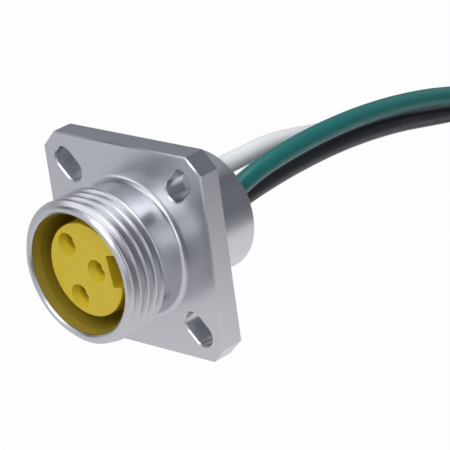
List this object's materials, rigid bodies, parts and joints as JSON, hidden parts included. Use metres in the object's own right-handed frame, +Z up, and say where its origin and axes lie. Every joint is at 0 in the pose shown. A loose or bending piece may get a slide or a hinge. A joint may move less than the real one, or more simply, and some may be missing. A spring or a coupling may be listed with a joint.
{
  "type": "flange mount connector receptacle",
  "caption": "Round threaded power receptacle on a square slotted flange, keyed yellow socket insert in front, three insulated leads from its potted rear barrel.",
  "frame": {"origin": "on the connector's axis, in the plane of the flange's rear face, which lies on the panel", "axes": "+Y into the panel along the connector's axis (rear barrel and leads), nose and socket face to -Y, +Z up, +X to the right seen from the front"},
  "size_m": [0.0318, 0.1334, 0.0686],
  "materials": {
    "shell_metal": "machined and clear anodised, bright satin",
    "insert_plastic": "moulded, mustard yellow, slight sheen",
    "contact_brass": "turned, gold flash",
    "potting_resin": "cast epoxy, smooth",
    "white_insulation": "extruded PVC, soft sheen",
    "green_insulation": "extruded PVC, soft sheen",
    "black_insulation": "extruded PVC, soft sheen",
    "tinned_copper": "tinned strands"
  },
  "bodies": {
    "root": {"shell_nose": "shell_metal", "shell_flange": "shell_metal", "shell_corner_1": "shell_metal", "shell_corner_2": "shell_metal", "shell_corner_3": "shell_metal", "shell_corner_4": "shell_metal", "shell_barrel": "shell_metal", "insert_tower": "insert_plastic", "insert_skirt": "insert_plastic", "insert_body": "insert_plastic", "socket_contact_1": "contact_brass", "socket_contact_2": "contact_brass", "socket_contact_3": "contact_brass", "potting": "potting_resin", "white_lead": "white_insulation", "white_coil": "white_insulation", "white_crimped_strands": "tinned_copper", "white_bare_end": "tinned_copper", "green_lead": "green_insulation", "green_coil": "green_insulation", "green_crimped_strands": "tinned_copper", "green_bare_end": "tinned_copper", "black_lead": "black_insulation", "black_coil": "black_insulation", "black_crimped_strands": "tinned_copper", "black_bare_end": "tinned_copper"}
  },
  "joints": []
}
